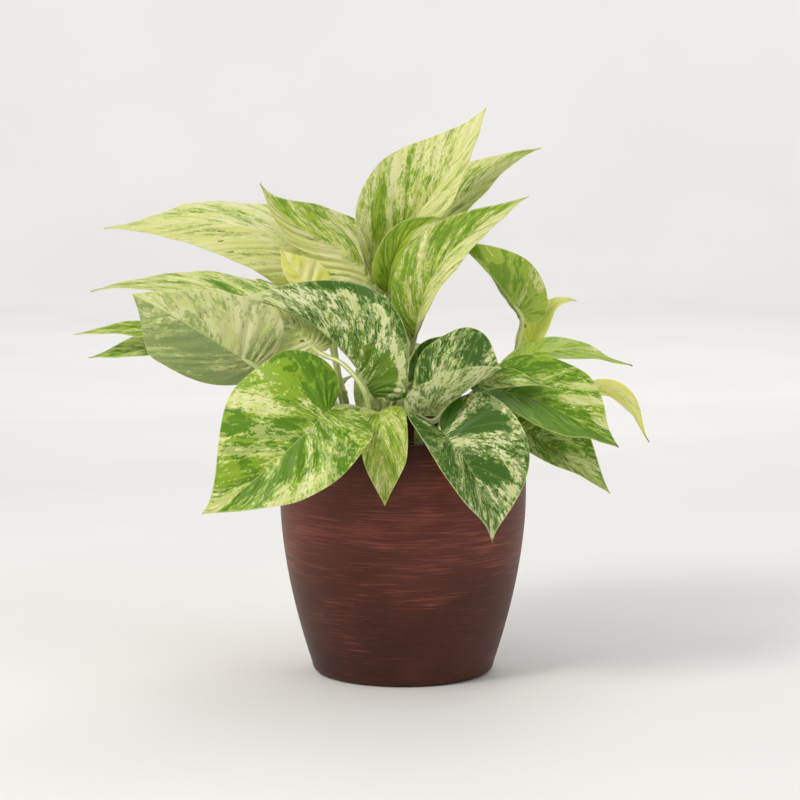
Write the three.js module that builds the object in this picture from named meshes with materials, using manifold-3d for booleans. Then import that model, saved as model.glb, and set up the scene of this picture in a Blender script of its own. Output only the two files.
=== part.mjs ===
// Potted marble queen pothos: a tapered round pot, its potting mix, short vines and the leaves they carry.
// Millimetres, +Z up, the viewer's side at -Y. The origin is the centre of the pot's flat underside.
import * as THREE from "three";
import { mergeVertices } from "three/addons/utils/BufferGeometryUtils.js";
import Module from "manifold-3d";

const wasm = await Module();
wasm.setup();

// Driving dimensions
const potHeight = 154;
const potTopRadius = 77.5;
const potBellyRadius = 78;
const potBellyHeight = 112;
const potFootRadius = 56;
const potCornerRadius = 6;
const potWall = 2.6;
const potFloor = 4;
const potFloorCorner = 4;
const potLipBevel = 0.8;
const potSides = 40;
const potWallSteps = 7;
const potCornerSteps = 3;
const potSideCurve = 1.75;
const drainHoleRadius = 5;
const drainHoleRing = 30;
const drainHoles = 4;
const drainHoleSides = 12;
const soilDepthBelowRim = 17;
const soilCrown = 4;
const soilRipple = 1.4;
const soilShoulder = 1.5;
const soilCrownShares = [0.93, 0.72, 0.45, 0.2, 0];
const soilRippleReach = [7, 9];
const soilSides = 28;
const soilSteps = 5;
const soilChordGap = 0.25;
const seatGap = 0.3;

const vineRadius = 3.6;
const vineSides = 8;
const vineSteps = 4;
const vineFootHeight = 112;
const vineBendShare = 0.55;

const bladeThickness = 0.7;
const bladeRipple = 1.2;
const bladeWaves = 1.6;
const bladeRows = 10;
const bladeColumns = 3;
const lobeShare = 0.42;
const veinSweep = 2.2;
const petioleRadius = 2.1;
const petioleTipRadius = 1.3;
const petioleSides = 5;
const petioleSteps = 4;
const petioleEndShare = 0.14;
const petioleDepths = [1.2, 0.9];

const potColour = "#4a2a24";
const soilColour = "#2b211b";
const vineColour = "#8fa545";
const leafColour = "#9fb860";

const vector = (p) => new THREE.Vector3(...p);
const radians = THREE.MathUtils.degToRad;
const mix = THREE.MathUtils.lerp;

// A closed triangle mesh as a solid for joining and cutting.
function solidOf(geometry) {
  const bare = geometry.clone();
  bare.deleteAttribute("normal");
  bare.deleteAttribute("uv");
  const merged = mergeVertices(bare, 1e-4);
  return new wasm.Manifold(
    new wasm.Mesh({
      numProp: 3,
      vertProperties: merged.attributes.position.array,
      triVerts: new Uint32Array(merged.index.array),
    }),
  );
}

// A solid back as a three.js geometry.
function geometryOf(solid) {
  const { vertProperties, triVerts, numProp, numVert } = solid.getMesh();
  const positions = new Float32Array(numVert * 3);
  for (let i = 0; i < numVert; i++) {
    positions.set(vertProperties.subarray(i * numProp, i * numProp + 3), i * 3);
  }
  const geometry = new THREE.BufferGeometry();
  geometry.setAttribute("position", new THREE.BufferAttribute(positions, 3));
  geometry.setIndex(new THREE.BufferAttribute(triVerts, 1));
  geometry.computeVertexNormals();
  return geometry;
}

// The body of a solid that holds the most volume: what a cut leaves besides is a scrap.
function largestBody(solid) {
  return solid.decompose().reduce((a, b) => (b.volume() > a.volume() ? b : a));
}

// A closed tube along a curve, with a radius that changes evenly from start to end.
function tube(curve, startRadius, endRadius, sides, steps) {
  const positions = [];
  const faces = [];
  const frames = curve.computeFrenetFrames(steps, false);
  for (let i = 0; i <= steps; i++) {
    const centre = curve.getPointAt(i / steps);
    const radius = mix(startRadius, endRadius, i / steps);
    for (let k = 0; k < sides; k++) {
      const turn = (2 * Math.PI * k) / sides;
      const point = centre
        .clone()
        .addScaledVector(frames.normals[i], radius * Math.cos(turn))
        .addScaledVector(frames.binormals[i], radius * Math.sin(turn));
      positions.push(...point.toArray());
    }
  }
  for (let i = 0; i < steps; i++) {
    for (let k = 0; k < sides; k++) {
      const a = i * sides + k;
      const b = i * sides + ((k + 1) % sides);
      faces.push(a, b, b + sides, a, b + sides, a + sides);
    }
  }
  const last = steps * sides;
  for (let k = 1; k < sides - 1; k++) {
    faces.push(0, k + 1, k, last, last + k, last + k + 1);
  }
  const geometry = new THREE.BufferGeometry();
  geometry.setAttribute("position", new THREE.Float32BufferAttribute(positions, 3));
  geometry.setIndex(faces);
  return geometry;
}

// The pot's outer radius at a height: a convex side, widest at the belly.
function potRadiusAt(height) {
  if (height > potBellyHeight) {
    const up = (height - potBellyHeight) / (potHeight - potBellyHeight);
    return mix(potBellyRadius, potTopRadius, up * up);
  }
  const down = 1 - height / potBellyHeight;
  return mix(potBellyRadius, potFootRadius, Math.pow(down, potSideCurve));
}

// The pot: a turned shell with a rounded foot, a flat underside and drain holes.
function makePot() {
  const profile = [new THREE.Vector2(0, 0)];
  const addPoint = (radius, height) => profile.push(new THREE.Vector2(radius, height));
  for (let i = 0; i <= potCornerSteps; i++) {
    const turn = (Math.PI / 2) * (i / potCornerSteps);
    const inset = potCornerRadius * (1 - Math.sin(turn));
    addPoint(potRadiusAt(potCornerRadius) - inset, potCornerRadius * (1 - Math.cos(turn)));
  }
  for (let i = 1; i <= potWallSteps; i++) {
    const height = mix(potCornerRadius, potHeight - potLipBevel, i / potWallSteps);
    addPoint(potRadiusAt(height), height);
  }
  addPoint(potTopRadius - potLipBevel, potHeight);
  addPoint(potTopRadius - potWall + potLipBevel, potHeight);
  for (let i = potWallSteps; i >= 0; i--) {
    const height = mix(potFloor + potFloorCorner, potHeight - potLipBevel, i / potWallSteps);
    addPoint(potRadiusAt(height) - potWall, height);
  }
  addPoint(potRadiusAt(potFloor) - potWall - potFloorCorner, potFloor);
  addPoint(0, potFloor);
  let pot = solidOf(new THREE.LatheGeometry(profile, potSides).rotateX(Math.PI / 2));
  for (let i = 0; i < drainHoles; i++) {
    const turn = (2 * Math.PI * (i + 0.5)) / drainHoles;
    const hole = new THREE.CylinderGeometry(drainHoleRadius, drainHoleRadius, 4 * potFloor, drainHoleSides)
      .rotateX(Math.PI / 2)
      .translate(drainHoleRing * Math.cos(turn), drainHoleRing * Math.sin(turn), 0);
    pot = pot.subtract(solidOf(hole));
  }
  return geometryOf(pot);
}

// The potting mix: fills the pot to below its rim, with a low uneven crown and a plain hole for each vine.
function makeSoil(vines) {
  const top = potHeight - soilDepthBelowRim;
  const bottom = potFloor + seatGap;
  const inner = (height) => potRadiusAt(height) - potWall - seatGap - soilChordGap;
  const profile = [new THREE.Vector2(0, bottom)];
  const addPoint = (radius, height) => profile.push(new THREE.Vector2(radius, height));
  addPoint(inner(bottom) - potFloorCorner - soilShoulder, bottom);
  for (let i = 0; i <= soilSteps; i++) {
    const height = mix(bottom + potFloorCorner + soilShoulder, top - soilShoulder, i / soilSteps);
    addPoint(inner(height), height);
  }
  for (const share of soilCrownShares) {
    addPoint(inner(top) * share, top + soilCrown * (1 - share * share));
  }
  const body = new THREE.LatheGeometry(profile, soilSides).rotateX(Math.PI / 2);
  const points = body.attributes.position;
  for (let i = 0; i < points.count; i++) {
    const [x, y, z] = [points.getX(i), points.getY(i), points.getZ(i)];
    const uneven = soilRipple * Math.sin(x / soilRippleReach[0] + 1) * Math.cos(y / soilRippleReach[1]);
    if (z > top) points.setZ(i, z + uneven);
  }
  let soil = solidOf(body);
  for (const vine of vines) {
    const hole = vineSolid(vine, seatGap);
    soil = soil.subtract(hole).subtract(hole.translate(0, 0, -seatGap));
  }
  return geometryOf(largestBody(soil));
}

// The short vines, each from a foot in the potting mix to a top near the rim.
const vinePlan = {
  vine_front_left: { foot: [-12, -32], top: [-20, -42, 174] },
  vine_front_right: { foot: [20, -32], top: [27, -48, 172] },
  vine_left: { foot: [-42, -4], top: [-56, -10, 176] },
  vine_right: { foot: [42, 4], top: [56, 4, 176] },
  vine_centre: { foot: [-12, 4], top: [-18, 2, 188] },
  vine_back: { foot: [10, 38], top: [12, 46, 178] },
  vine_back_left: { foot: [-32, 30], top: [-40, 36, 176] },
  vine_back_right: { foot: [40, 36], top: [50, 42, 172] },
};

function makeVine(name, { foot, top }) {
  const start = new THREE.Vector3(foot[0], foot[1], vineFootHeight);
  const end = vector(top);
  const bend = new THREE.Vector3(foot[0], foot[1], mix(vineFootHeight, top[2], vineBendShare));
  const curve = new THREE.QuadraticBezierCurve3(start, bend, end);
  return { name, curve };
}

// A vine's solid, or the same grown by a gap, which cuts its seat in what touches it.
function vineSolid({ curve }, gap) {
  const radius = vineRadius + gap;
  return solidOf(tube(curve, radius, radius, vineSides, vineSteps));
}

const vines = Object.entries(vinePlan).map(([name, plan]) => makeVine(name, plan));

// The edge of one half of a blade, from the petiole round the lobe to the tip,
// in shares of its half width and its length.
function edgeAt(t, right, leaf) {
  const form = right ? { ...leaf, ...leaf.rightEdge } : leaf;
  const { lobe, widest = 0.25, shoulder = 0.3, tipWidth = 0.2, tipReach = 0.78 } = form;
  const points =
    t < lobeShare
      ? [[0, 0], [0.1, -1.25 * lobe], [1, -lobe], [1, widest]]
      : [[1, widest], [1, widest + shoulder], [tipWidth, tipReach], [0, 1]];
  const share = t < lobeShare ? t / lobeShare : (t - lobeShare) / (1 - lobeShare);
  const curve = new THREE.CubicBezierCurve(...points.map((p) => new THREE.Vector2(...p)));
  return curve.getPoint(share);
}

// Where a side vein leaves the midrib, as a share of the blade's length.
const veinStart = (t) => Math.pow(t, veinSweep);

// A blade's midrib, with the direction that its upper face looks in along it.
class Midrib {
  constructor(leaf) {
    this.curve = new THREE.CubicBezierCurve3(...leaf.midrib.map(vector));
    this.length = this.curve.getLength();
    this.faces = leaf.faces.map((f) => vector(f).normalize());
  }

  // The place at a share of the length, and the blade's own directions there: up, its normal, and aside.
  frameAt(share) {
    const inside = THREE.MathUtils.clamp(share, 0, 1);
    const along = this.curve.getTangentAt(inside);
    const beyond = (share - inside) * this.length;
    const place = this.curve.getPointAt(inside).addScaledVector(along, beyond);
    const up = this.faces[0].clone().lerp(this.faces[1], inside);
    up.addScaledVector(along, -up.dot(along)).normalize();
    return { place, up, aside: along.clone().cross(up) };
  }
}

// A point of the blade's middle surface and its normal there.
// t runs from the petiole to the tip, side from -1 to 1 across.
function bladePoint(leaf, midrib, t, side) {
  const edge = edgeAt(t, side > 0, leaf);
  const across = Math.abs(side);
  const station = mix(veinStart(t), edge.y, across);
  const reach = edge.x * across;
  const inside = THREE.MathUtils.clamp(station, 0, 1);
  const bends = side < 0 ? leaf.left : leaf.right;
  const opened = 1 - Math.pow(1 - inside, leaf.opening ?? 1);
  const fold = radians(mix(bends[0], bends[2], opened));
  const curl = radians(mix(bends[1], bends[3], opened)) || 1e-6;
  const angle = fold + curl * reach;
  const halfWidth = leaf.halfWidths[side < 0 ? 0 : 1];
  const out = (halfWidth / curl) * (Math.sin(angle) - Math.sin(fold));
  const rise = (halfWidth / curl) * (Math.cos(fold) - Math.cos(angle));
  const phase = side < 0 ? 2 : 0;
  const wave = Math.sin(2 * Math.PI * bladeWaves * t + phase) * Math.sin(Math.PI * t);
  const ripple = bladeRipple * wave * across * across;
  const { place, up, aside } = midrib.frameAt(station);
  const way = Math.sign(side);
  const point = place.addScaledVector(aside, way * out).addScaledVector(up, rise + ripple);
  const lean = way * angle;
  const normal = up.multiplyScalar(Math.cos(lean)).addScaledVector(aside, -Math.sin(lean));
  return { point, normal };
}

// The blade as a closed thin body: the same triangles on its upper and lower face, a wall round its edge.
function makeBlade(leaf, midrib) {
  const half = leaf.columns ?? bladeColumns;
  const rows = leaf.rows ?? bladeRows;
  const upper = [];
  const lower = [];
  const positions = [];
  const addPoint = (p) => positions.push(...p.toArray()) / 3 - 1;
  for (let j = 0; j <= rows; j++) {
    const single = j === 0 || j === rows;
    const upperRow = [];
    const lowerRow = [];
    for (let i = -half; i <= half; i++) {
      if (single && i > -half) {
        upperRow.push(upperRow[0]);
        lowerRow.push(lowerRow[0]);
        continue;
      }
      const { point, normal } = bladePoint(leaf, midrib, j / rows, single ? 0 : i / half);
      upperRow.push(addPoint(point.clone().addScaledVector(normal, bladeThickness / 2)));
      lowerRow.push(addPoint(point.clone().addScaledVector(normal, -bladeThickness / 2)));
    }
    upper.push(upperRow);
    lower.push(lowerRow);
  }
  const faces = [];
  const addFace = (a, b, c) => {
    if (a !== b && b !== c && a !== c) faces.push(a, b, c);
  };
  for (let j = 0; j < rows; j++) {
    for (let i = 0; i < 2 * half; i++) {
      addFace(upper[j][i], upper[j][i + 1], upper[j + 1][i + 1]);
      addFace(upper[j][i], upper[j + 1][i + 1], upper[j + 1][i]);
      addFace(lower[j][i], lower[j + 1][i + 1], lower[j][i + 1]);
      addFace(lower[j][i], lower[j + 1][i], lower[j + 1][i + 1]);
    }
    const last = 2 * half;
    addFace(lower[j][last], lower[j + 1][last], upper[j + 1][last]);
    addFace(lower[j][last], upper[j + 1][last], upper[j][last]);
    addFace(lower[j][0], upper[j + 1][0], lower[j + 1][0]);
    addFace(lower[j][0], upper[j][0], upper[j + 1][0]);
  }
  const geometry = new THREE.BufferGeometry();
  geometry.setAttribute("position", new THREE.Float32BufferAttribute(positions, 3));
  geometry.setIndex(faces);
  return geometry;
}

// The petiole: from its node on the vine, through the bends given, to the underside of the blade.
function makePetiole(leaf, midrib, vine) {
  const under = (share, depth) => {
    const { place, up } = midrib.frameAt(share);
    return place.addScaledVector(up, -depth);
  };
  const start = vine.curve.getPointAt(leaf.node);
  const seat = [under(0, petioleDepths[0]), under(petioleEndShare, petioleDepths[1])];
  const points = [start, ...leaf.bends.map(vector), ...seat];
  const curve = new THREE.CatmullRomCurve3(points, false, "centripetal");
  const steps = petioleSteps + leaf.bends.length;
  return tube(curve, petioleRadius, petioleTipRadius, petioleSides, steps);
}

// A leaf: blade and petiole in one body, cut back to the seat gap round the vine that carries it.
function makeLeaf(leaf) {
  const vine = vines.find(({ name }) => name === leaf.vine);
  const midrib = new Midrib(leaf);
  const blade = solidOf(makeBlade(leaf, midrib));
  const petiole = solidOf(makePetiole(leaf, midrib, vine));
  return geometryOf(largestBody(blade.add(petiole).subtract(vineSolid(vine, seatGap))));
}

// The leaves. Each has the vine that it grows from and the share of it at which its petiole starts,
// the bends of its petiole, the four points of its midrib's curve, the direction of its upper face
// at both ends, the half widths left and right of the midrib and the reach of its lobes. The margin's
// form can be given too, and for the right half on its own. Each half folds and curls in degrees:
// fold and curl by the petiole, then by the tip.
const leaves = {
  leaf_crown: {
    vine: "vine_centre",
    node: 0.97,
    bends: [[-14, 12, 214]],
    midrib: [[-17, 18, 239], [-9, 9, 277], [18, 8, 292], [53, 26, 357]],
    faces: [[0, -1, 0.1], [-0.4, -0.85, 0.2]],
    halfWidths: [42, 27],
    lobe: -0.14,
    left: [85, 0, 5, 0],
    right: [80, 0, 35, 0],
    widest: 0.34,
    opening: 2,
    tipWidth: 0.3,
  },
  leaf_crown_behind: {
    vine: "vine_back",
    node: 0.97,
    bends: [[2, 44, 210]],
    midrib: [[-7, 42, 240], [4, 42, 261], [36, 41, 313], [89, 50, 331]],
    faces: [[-0.5, -0.6, 0.6], [-0.5, -0.6, 0.6]],
    halfWidths: [33, 33],
    lobe: 0.16,
    left: [20, 10, 15, 0],
    right: [20, 10, 15, 0],
  },
  leaf_unrolling: {
    vine: "vine_centre",
    node: 0.85,
    bends: [[-15, -9, 210]],
    midrib: [[-10, -12, 241], [-9, -16, 267], [3, -18, 289], [30, -14, 288]],
    faces: [[0.1, -0.9, 0.4], [0.1, -0.9, 0.4]],
    halfWidths: [14, 11],
    lobe: -0.05,
    left: [35, 10, 35, 0],
    right: [55, 10, 55, 0],
    columns: 2,
  },
  leaf_upper_right: {
    vine: "vine_centre",
    node: 0.63,
    bends: [[-3, -16, 192]],
    midrib: [[6, -25, 211], [12, -29, 237], [8, -30, 266], [79, -5, 302]],
    faces: [[-0.35, -0.9, 0.1], [-0.35, -0.9, 0.1]],
    halfWidths: [22, 20],
    lobe: -0.08,
    left: [35, 0, 10, 0],
    right: [60, 0, 40, 0],
    widest: 0.32,
    opening: 2,
  },
  leaf_right_arching: {
    vine: "vine_right",
    node: 0.97,
    bends: [[68, 5, 192], [73, 5, 210]],
    midrib: [[75, 5, 225], [66, 5, 239], [55, 10, 255], [33, 25, 273]],
    faces: [[-0.3, 0.8, 0.5], [-0.3, 0.8, 0.5]],
    halfWidths: [26, 26],
    lobe: 0.16,
    left: [20, 10, 20, 0],
    right: [80, 10, 70, 0],
  },
  leaf_right_pale: {
    vine: "vine_right",
    node: 0.75,
    bends: [[72, 14, 185]],
    midrib: [[79, 22, 201], [86, 20, 221], [98, 22, 240], [111, 22, 234]],
    faces: [[-0.7, -0.6, 0.3], [-0.7, -0.6, 0.3]],
    halfWidths: [12, 12],
    lobe: 0.12,
    left: [10, 10, 10, 0],
    right: [10, 10, 10, 0],
    columns: 2,
  },
  leaf_right_high: {
    vine: "vine_right",
    node: 0.86,
    bends: [[62, -14, 190]],
    midrib: [[71, -24, 201], [91, -23, 213], [118, -19, 205], [144, -12, 196]],
    faces: [[0, -0.3, 0.95], [0, -0.3, 0.95]],
    halfWidths: [19, 14],
    lobe: 0.16,
    left: [0, 0, 0, 0],
    right: [0, 0, 0, 0],
  },
  leaf_right_long: {
    vine: "vine_front_right",
    node: 0.88,
    bends: [[38, -50, 172]],
    midrib: [[50, -45, 184], [74, -60, 187], [104, -70, 170], [131, -70, 152]],
    faces: [[0.1, -0.55, 0.8], [0.1, -0.55, 0.8]],
    halfWidths: [33, 30],
    lobe: 0.04,
    left: [22, 5, 15, 0],
    right: [22, 5, 15, 0],
    widest: 0.45,
    tipWidth: 0.35,
  },
  leaf_right_sliver: {
    vine: "vine_front_right",
    node: 0.76,
    bends: [[29, -61, 172]],
    midrib: [[44, -65, 187], [57, -67, 197], [78, -68, 190], [91, -70, 188]],
    faces: [[0, -0.4, 0.9], [0, -0.4, 0.9]],
    halfWidths: [11, 11],
    lobe: 0.08,
    left: [10, 10, 10, 0],
    right: [10, 10, 10, 0],
    columns: 2,
  },
  leaf_right_low: {
    vine: "vine_right",
    node: 0.64,
    bends: [[64, -16, 172]],
    midrib: [[64, -28, 163], [84, -38, 156], [109, -45, 138], [128, -45, 120]],
    faces: [[0.3, -0.8, 0.5], [0.3, -0.8, 0.5]],
    halfWidths: [30, 18],
    lobe: 0.1,
    left: [10, 5, 10, 0],
    right: [30, 0, 10, 0],
  },
  leaf_right_folded: {
    vine: "vine_front_right",
    node: 0.98,
    bends: [[18, -56, 166]],
    midrib: [[8, -69, 173], [24, -75, 178], [42, -83, 193], [58, -70, 201]],
    faces: [[0, -0.85, 0.5], [0, -0.85, 0.5]],
    halfWidths: [34, 36],
    lobe: 0.04,
    left: [10, 10, 10, 10],
    right: [50, 100, 50, 80],
    columns: 4,
    widest: 0.5,
    tipWidth: 1,
    tipReach: 1.3,
    rightEdge: { widest: 0.4, tipWidth: 0.8, tipReach: 0.78 },
  },
  leaf_right_dark_edge: {
    vine: "vine_centre",
    node: 0.52,
    bends: [[-4, -14, 176]],
    midrib: [[7, -30, 190], [12, -30, 204], [23, -30, 215], [35, -30, 219]],
    faces: [[-0.6, -0.3, 0.75], [-0.6, -0.3, 0.75]],
    halfWidths: [12, 12],
    lobe: 0.12,
    left: [10, 10, 10, 0],
    right: [10, 10, 10, 0],
    columns: 2,
  },
  leaf_front_right: {
    vine: "vine_front_right",
    node: 0.62,
    bends: [[26, -62, 163], [25, -78, 169]],
    midrib: [[23, -88, 164], [35, -100, 154], [54, -108, 125], [53, -108, 99]],
    faces: [[0.5, -0.85, 0.2], [0.5, -0.85, 0.2]],
    halfWidths: [40, 27],
    lobe: 0.18,
    left: [30, 5, 15, 0],
    right: [30, 5, 15, 0],
    shoulder: 0.42,
    tipWidth: 0.05,
    rightEdge: { lobe: 0.3 },
    rows: 14,
  },
  leaf_front_small: {
    vine: "vine_front_left",
    node: 0.78,
    bends: [[-12, -52, 165]],
    midrib: [[-15, -60, 172], [-12, -109, 175], [-12, -83, 138], [-11, -90, 119]],
    faces: [[0, -0.6, 0.8], [0, -0.9, 0.2]],
    halfWidths: [16, 14],
    lobe: 0.1,
    left: [22, 5, 10, 0],
    right: [15, 5, 10, 0],
    widest: 0.4,
    tipWidth: 0.5,
    columns: 2,
  },
  leaf_front_left: {
    vine: "vine_front_left",
    node: 0.88,
    bends: [[-32, -64, 176]],
    midrib: [[-44, -91, 177], [-50, -101, 174], [-96, -120, 125], [-120, -108, 117]],
    faces: [[-0.1, -1, 0.1], [-0.1, -1, 0.25]],
    halfWidths: [36, 51],
    lobe: 0.22,
    left: [20, 0, 10, 0],
    right: [15, -40, 5, -10],
    tipWidth: 0.1,
    rightEdge: { lobe: 0.3, tipWidth: 0.22 },
    rows: 14,
  },
  leaf_centre_cupped: {
    vine: "vine_front_left",
    node: 0.98,
    bends: [[-20, -44, 178]],
    midrib: [[-20, -44, 181], [-33, -48, 214], [-66, -53, 239], [-100, -48, 241]],
    faces: [[0.3, -0.7, 0.6], [0.3, -0.7, 0.6]],
    halfWidths: [14, 45],
    lobe: 0.12,
    left: [-140, 0, -130, 0],
    right: [20, 150, 10, 0],
    opening: 2.5,
    columns: 4,
  },
  leaf_left_underside: {
    vine: "vine_left",
    node: 0.97,
    bends: [[-68, -26, 173], [-82, -40, 184]],
    midrib: [[-89, -46, 198], [-124, -60, 222], [-147, -65, 237], [-165, -54, 244]],
    faces: [[-0.1, 0.9, 0.4], [-0.1, 0.9, 0.4]],
    halfWidths: [36, 35],
    lobe: 0.06,
    left: [10, 10, 10, 0],
    right: [10, 10, 10, 0],
    widest: 0.15,
    tipWidth: 0.3,
    rightEdge: { widest: 0.5, tipWidth: 1 },
  },
  leaf_left_cream: {
    vine: "vine_front_left",
    node: 0.55,
    bends: [[-20, -53, 166], [-24, -54, 185], [-37, -51, 201]],
    midrib: [[-51, -44, 208], [-75, -38, 239], [-141, -16, 257], [-195, -16, 243]],
    faces: [[0, -0.3, 0.95], [0, -0.3, 0.95]],
    halfWidths: [28, 26],
    lobe: 0.02,
    left: [-75, 0, 5, 0],
    right: [10, 10, 10, 0],
    opening: 2,
    tipWidth: 0.12,
  },
  leaf_upper_left_cream: {
    vine: "vine_back_left",
    node: 0.97,
    bends: [[-44, 32, 208]],
    midrib: [[-42, 26, 241], [-80, 20, 293], [-134, 14, 287], [-189, 8, 281]],
    faces: [[0, -0.35, 0.93], [0, -0.35, 0.93]],
    halfWidths: [29, 38],
    lobe: 0.1,
    left: [-38, 0, -28, 0],
    right: [10, 0, 0, 0],
    widest: 0.33,
    tipWidth: 0.12,
  },
  leaf_upper_left: {
    vine: "vine_centre",
    node: 0.74,
    bends: [[-27, -2, 206]],
    midrib: [[-20, 3, 237], [-22, 10, 278], [-76, 10, 269], [-90, 6, 310]],
    faces: [[0.3, -0.7, 0.6], [0.3, -0.7, 0.6]],
    halfWidths: [21, 32],
    lobe: -0.17,
    left: [-10, 0, -120, 0],
    right: [-15, 0, 10, 0],
    widest: 0.35,
  },
  leaf_young_yellow: {
    vine: "vine_left",
    node: 0.86,
    bends: [[-57, -6, 206]],
    midrib: [[-57, -5, 239], [-62, -6, 249], [-70, -7, 254], [-77, -8, 270]],
    faces: [[0.3, -0.85, 0.4], [0.3, -0.85, 0.4]],
    halfWidths: [12, 17],
    lobe: 0.14,
    left: [15, 10, 10, 0],
    right: [15, 10, 10, 0],
    columns: 2,
  },
  leaf_left_tip_high: {
    vine: "vine_left",
    node: 0.74,
    bends: [[-74, -10, 196]],
    midrib: [[-105, -22, 214], [-139, -20, 222], [-174, -18, 221], [-206, -16, 216]],
    faces: [[0, -0.6, 0.8], [0, -0.6, 0.8]],
    halfWidths: [13, 9],
    lobe: 0.16,
    left: [10, 10, 10, 0],
    right: [10, 10, 10, 0],
    columns: 2,
  },
  leaf_left_tip_low: {
    vine: "vine_left",
    node: 0.62,
    bends: [[-78, -12, 172]],
    midrib: [[-108, -12, 196], [-130, -12, 213], [-166, -12, 207], [-197, -12, 201]],
    faces: [[-0.1, -0.6, 0.75], [-0.1, -0.6, 0.75]],
    halfWidths: [14, 18],
    lobe: 0.04,
    left: [10, 10, 10, 0],
    right: [10, 10, 10, 0],
    columns: 2,
  },
  leaf_far_right_pale: {
    vine: "vine_back_right",
    node: 0.9,
    bends: [[72, 28, 172]],
    midrib: [[118, 15, 176], [143, 17, 185], [147, 12, 158], [157, 8, 145]],
    faces: [[0.3, -0.5, 0.8], [0.3, -0.5, 0.8]],
    halfWidths: [9, 8],
    lobe: 0.14,
    left: [10, 10, 10, 0],
    right: [10, 10, 10, 0],
    columns: 2,
  },
  leaf_back_left_low: {
    vine: "vine_back_left",
    node: 0.66,
    bends: [[-56, 44, 176]],
    midrib: [[-70, 48, 186], [-86, 62, 202], [-108, 76, 204], [-124, 82, 190]],
    faces: [[-0.1, 0.45, 0.9], [-0.3, 0.5, 0.8]],
    halfWidths: [34, 34],
    lobe: 0.18,
    left: [16, 6, 10, 0],
    right: [16, 6, 10, 0],
    rows: 8,
  },
  leaf_back_left_high: {
    vine: "vine_back_left",
    node: 0.8,
    bends: [[-46, 54, 200]],
    midrib: [[-50, 62, 220], [-64, 80, 240], [-92, 104, 244], [-112, 116, 226]],
    faces: [[0.1, -0.2, 0.97], [-0.3, 0.3, 0.9]],
    halfWidths: [33, 33],
    lobe: 0.18,
    left: [18, 6, 10, 0],
    right: [18, 6, 10, 0],
    rows: 8,
  },
  leaf_back_tall: {
    vine: "vine_back",
    node: 0.84,
    bends: [[-4, 64, 204]],
    midrib: [[-14, 72, 230], [-22, 88, 258], [-32, 112, 276], [-44, 132, 266]],
    faces: [[0, 0.2, 0.97], [-0.1, 0.5, 0.86]],
    halfWidths: [36, 36],
    lobe: 0.18,
    left: [18, 6, 12, 0],
    right: [18, 6, 12, 0],
    rows: 8,
  },
  leaf_back_right_high: {
    vine: "vine_back_right",
    node: 0.97,
    bends: [[54, 48, 180]],
    midrib: [[56, 56, 182], [66, 74, 190], [84, 98, 184], [98, 112, 166]],
    faces: [[-0.1, 0.1, 0.98], [0.2, 0.4, 0.9]],
    halfWidths: [34, 34],
    lobe: 0.18,
    left: [18, 6, 12, 0],
    right: [18, 6, 12, 0],
    rows: 8,
  },
  leaf_back_right_low: {
    vine: "vine_back_right",
    node: 0.7,
    bends: [[62, 46, 164]],
    midrib: [[72, 52, 170], [88, 64, 174], [108, 76, 158], [118, 80, 128]],
    faces: [[0.1, 0.4, 0.9], [0.4, 0.5, 0.75]],
    halfWidths: [32, 32],
    lobe: 0.18,
    left: [16, 6, 10, 0],
    right: [16, 6, 10, 0],
    rows: 8,
  },
  leaf_back_drooping: {
    vine: "vine_back",
    node: 0.6,
    bends: [[3, 62, 168]],
    midrib: [[2, 86, 176], [4, 106, 174], [4, 118, 142], [0, 110, 96]],
    faces: [[0, 0.4, 0.9], [0, 0.97, 0.2]],
    halfWidths: [38, 38],
    lobe: 0.2,
    left: [16, 6, 10, 0],
    right: [16, 6, 10, 0],
    rows: 8,
  },
  leaf_back_left_drooping: {
    vine: "vine_back_left",
    node: 0.56,
    bends: [[-46, 58, 168]],
    midrib: [[-56, 72, 174], [-68, 92, 172], [-78, 102, 140], [-76, 96, 100]],
    faces: [[-0.2, 0.5, 0.85], [-0.5, 0.85, 0.2]],
    halfWidths: [33, 33],
    lobe: 0.18,
    left: [16, 6, 10, 0],
    right: [16, 6, 10, 0],
    rows: 8,
  },
  leaf_back_centre: {
    vine: "vine_back",
    node: 0.74,
    bends: [[15, 64, 181]],
    midrib: [[15, 74, 191], [21, 94, 203], [29, 116, 199], [35, 130, 177]],
    faces: [[0, 0.1, 1], [-0.2, 0.5, 0.85]],
    halfWidths: [30, 30],
    lobe: 0.18,
    left: [16, 6, 10, 0],
    right: [16, 6, 10, 0],
    rows: 8,
  },
};

const plant = new THREE.Group();

function addPiece(name, geometry, color, roughness) {
  const material = new THREE.MeshStandardMaterial({ color, roughness, metalness: 0 });
  const mesh = new THREE.Mesh(geometry, material);
  mesh.name = name;
  plant.add(mesh);
}

addPiece("pot", makePot(), potColour, 0.5);
addPiece("potting_mix", makeSoil(vines), soilColour, 0.95);
for (const vine of vines) {
  addPiece(vine.name, geometryOf(vineSolid(vine, 0)), vineColour, 0.55);
}
for (const [name, leaf] of Object.entries(leaves)) {
  addPiece(name, makeLeaf(leaf), leafColour, 0.45);
}

export default plant;
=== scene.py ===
import math
import random
import bmesh
import bpy
import numpy as np
from mathutils import Matrix, Vector, noise


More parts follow.
